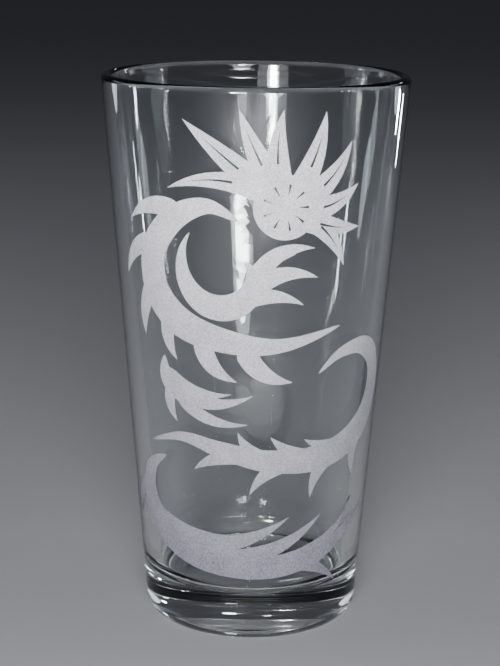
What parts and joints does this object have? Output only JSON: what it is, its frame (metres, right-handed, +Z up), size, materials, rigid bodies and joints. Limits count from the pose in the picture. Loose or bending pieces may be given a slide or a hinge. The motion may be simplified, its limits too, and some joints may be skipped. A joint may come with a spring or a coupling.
{
  "type": "pint glass",
  "caption": "Straight-sided tapered pint glass with a rounded rim, a heavy clear base and an etched leaf scroll on the front.",
  "frame": {"origin": "centre of the foot, on the surface the glass stands on", "axes": "+Z up along the axis of the glass, -Y towards the etched front, +X to the right as seen from the front"},
  "size_m": [0.0888, 0.0888, 0.162],
  "materials": {
    "clear_glass": "fire-polished clear soda-lime glass",
    "frosted_glass": "sandblasted matt white etching with a fine grain"
  },
  "bodies": {
    "root": {"glass": "clear_glass", "etched_blossom": "frosted_glass", "etched_upper_scroll": "frosted_glass", "etched_curl": "frosted_glass", "etched_sprig": "frosted_glass", "etched_right_scroll": "frosted_glass", "etched_base_scroll": "frosted_glass"}
  },
  "joints": []
}
